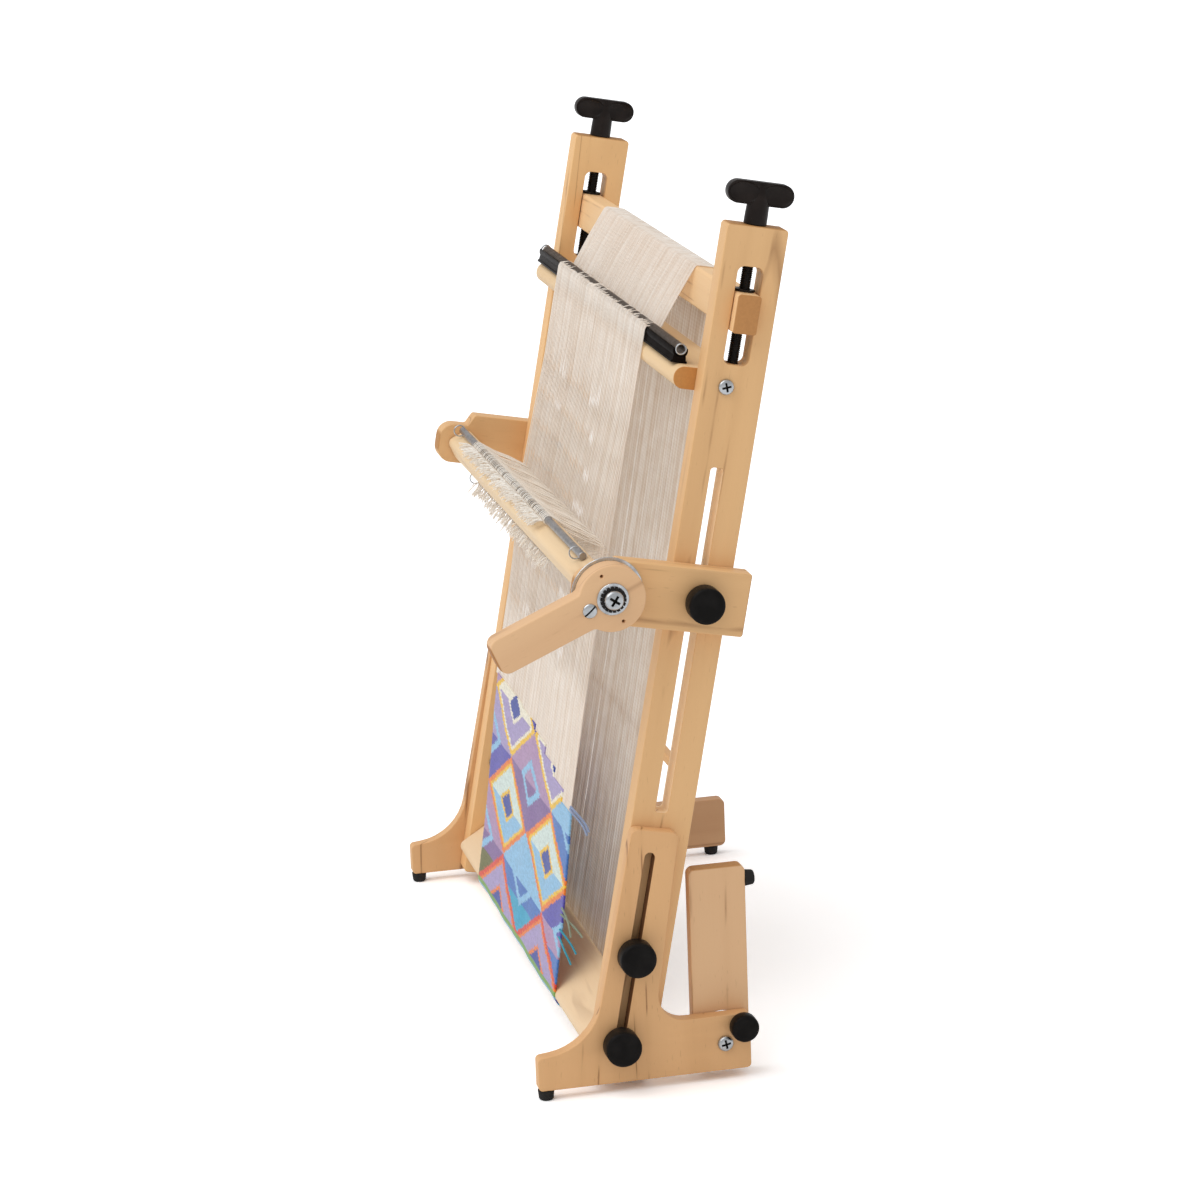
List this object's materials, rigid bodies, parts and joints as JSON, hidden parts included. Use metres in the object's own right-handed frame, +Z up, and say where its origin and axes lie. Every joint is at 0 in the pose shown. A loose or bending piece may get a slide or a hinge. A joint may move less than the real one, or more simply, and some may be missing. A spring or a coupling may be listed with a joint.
{
  "type": "tapestry loom",
  "caption": "Freestanding wooden tapestry loom with leaning uprights, screw-tensioned top beam, spring warp spacer, turning heddle bar with side handle and slotted foot brackets.",
  "frame": {"origin": "on the floor, under the middle of the loom's bounding box", "axes": "+Z up, the weaver sits at -Y and faces +Y, +X is the side with the shedding handle"},
  "size_m": [0.683, 0.3522, 0.7814],
  "materials": {
    "wood": "oiled hardwood",
    "pale_wood": "oiled hardwood, pale",
    "black_plastic": "moulded black",
    "black_steel": "blackened thread",
    "zinc": "zinc plated",
    "rubber": "matt",
    "warp": "ecru cotton warp",
    "cloth": "woven wool in coloured bands"
  },
  "bodies": {
    "frame": {"right_upright": "wood", "left_upright": "wood", "bottom_beam": "pale_wood", "coil_bar": "pale_wood", "spring_channel": "black_plastic", "warp_spring": "black_steel", "rear_brace": "wood", "coil_bar_screw_right": "zinc", "coil_bar_screw_left": "zinc", "front_warp": "warp", "back_warp": "warp", "tapestry": "cloth", "right_upper_foot_nut": "zinc", "right_lower_foot_nut": "zinc", "left_upper_foot_nut": "zinc", "left_lower_foot_nut": "zinc"},
    "beam": {"top_beam": "wood", "right_beam_nut": "zinc", "left_beam_nut": "zinc"},
    "right_tension_screw": {"right_tension_rod": "black_steel", "right_tension_handle": "black_plastic"},
    "left_tension_screw": {"left_tension_rod": "black_steel", "left_tension_handle": "black_plastic"},
    "right_foot": {"right_bracket": "wood", "right_front_foot": "rubber", "right_pivot_screw": "zinc"},
    "left_foot": {"left_bracket": "wood", "left_front_foot": "rubber", "left_pivot_screw": "zinc"},
    "right_extension": {"right_foot_extension": "wood", "right_extension_pad": "rubber"},
    "left_extension": {"left_foot_extension": "wood", "left_extension_pad": "rubber"},
    "right_upper_knob": {"right_upper_foot_knob": "black_plastic"},
    "right_lower_knob": {"right_lower_foot_knob": "black_plastic"},
    "left_upper_knob": {"left_upper_foot_knob": "black_plastic"},
    "left_lower_knob": {"left_lower_foot_knob": "black_plastic"},
    "right_lock_knob": {"right_extension_knob": "black_plastic"},
    "left_lock_knob": {"left_extension_knob": "black_plastic"},
    "right_arm_clamp": {"right_arm_knob": "black_plastic"},
    "left_arm_clamp": {"left_arm_knob": "black_plastic"},
    "shed_arms": {"right_arm": "wood", "left_arm": "wood", "right_arm_slot_nut": "zinc", "left_arm_slot_nut": "zinc"},
    "heddle": {"heddle_bar": "pale_wood", "upper_heddle_rod": "zinc", "lower_heddle_rod": "zinc", "left_upper_clip": "zinc", "right_upper_clip": "zinc", "left_lower_clip": "zinc", "right_lower_clip": "zinc", "shed_handle": "wood", "friction_disc": "zinc", "axle_washer": "zinc", "lock_washer": "black_steel", "axle_screw_right": "zinc", "axle_screw_left": "zinc", "handle_screw": "zinc"}
  },
  "joints": [
    {"name": "top_beam_slide", "type": "slide", "parent": "frame", "child": "beam", "axis": [0, 0.1925, 0.9813], "range_m": [-0.024, 0.015], "deforming": ["front_warp", "back_warp"]},
    {"name": "right_tension_turn", "type": "hinge", "parent": "frame", "child": "right_tension_screw", "pos_m": [0.28165, 0.07346, 0.75059], "axis": [0, -0.1925, -0.9813], "range_deg": [-5445, 3404]},
    {"name": "left_tension_turn", "type": "hinge", "parent": "frame", "child": "left_tension_screw", "pos_m": [-0.29035, 0.07346, 0.75059], "axis": [0, -0.1925, -0.9813], "range_deg": [-5445, 3404]},
    {"name": "right_foot_slide", "type": "slide", "parent": "frame", "child": "right_foot", "axis": [0, -0.1925, -0.9813], "range_m": [0, 0.084]},
    {"name": "left_foot_slide", "type": "slide", "parent": "frame", "child": "left_foot", "axis": [0, -0.1925, -0.9813], "range_m": [0, 0.084]},
    {"name": "right_extension_hinge", "type": "hinge", "parent": "right_foot", "child": "right_extension", "pos_m": [0.28615, 0.02011, 0.034], "axis": [-1, 0, 0], "range_deg": [0, 90]},
    {"name": "left_extension_hinge", "type": "hinge", "parent": "left_foot", "child": "left_extension", "pos_m": [-0.29485, 0.02011, 0.034], "axis": [-1, 0, 0], "range_deg": [-90, 0]},
    {"name": "arms_slide", "type": "slide", "parent": "frame", "child": "shed_arms", "axis": [0, 0.1925, 0.9813], "range_m": [-0.172, 0.096]},
    {"name": "heddle_turn", "type": "hinge", "parent": "shed_arms", "child": "heddle", "pos_m": [-0.00435, -0.07163, 0.44735], "axis": [-1, 0, 0], "range_deg": [-15, 95]},
    {"name": "right_upper_knob_turn", "type": "hinge", "parent": "frame", "child": "right_upper_knob", "pos_m": [0.31565, -0.058, 0.12469], "axis": [1, 0, 0], "range_deg": [0, 720]},
    {"name": "right_lower_knob_turn", "type": "hinge", "parent": "frame", "child": "right_lower_knob", "pos_m": [0.31565, -0.0735, 0.04569], "axis": [1, 0, 0], "range_deg": [0, 720]},
    {"name": "left_upper_knob_turn", "type": "hinge", "parent": "frame", "child": "left_upper_knob", "pos_m": [-0.32435, -0.058, 0.12469], "axis": [-1, 0, 0], "range_deg": [0, 720]},
    {"name": "left_lower_knob_turn", "type": "hinge", "parent": "frame", "child": "left_lower_knob", "pos_m": [-0.32435, -0.0735, 0.04569], "axis": [-1, 0, 0], "range_deg": [0, 720]},
    {"name": "right_lock_knob_turn", "type": "hinge", "parent": "right_foot", "child": "right_lock_knob", "pos_m": [0.31565, 0.03539, 0.04983], "axis": [1, 0, 0], "range_deg": [0, 720]},
    {"name": "left_lock_knob_turn", "type": "hinge", "parent": "left_foot", "child": "left_lock_knob", "pos_m": [-0.32435, 0.03539, 0.04983], "axis": [-1, 0, 0], "range_deg": [0, 720]},
    {"name": "right_arm_knob_turn", "type": "hinge", "parent": "shed_arms", "child": "right_arm_clamp", "pos_m": [0.32165, 0.00959, 0.43233], "axis": [1, 0, 0], "range_deg": [0, 720]},
    {"name": "left_arm_knob_turn", "type": "hinge", "parent": "shed_arms", "child": "left_arm_clamp", "pos_m": [-0.33035, 0.00959, 0.43233], "axis": [-1, 0, 0], "range_deg": [0, 720]}
  ],
  "couplings": [
    {"joint": "right_tension_turn", "follows": "top_beam_slide", "rad_per_m": 3957.9},
    {"joint": "left_tension_turn", "follows": "top_beam_slide", "rad_per_m": 3957.9}
  ]
}
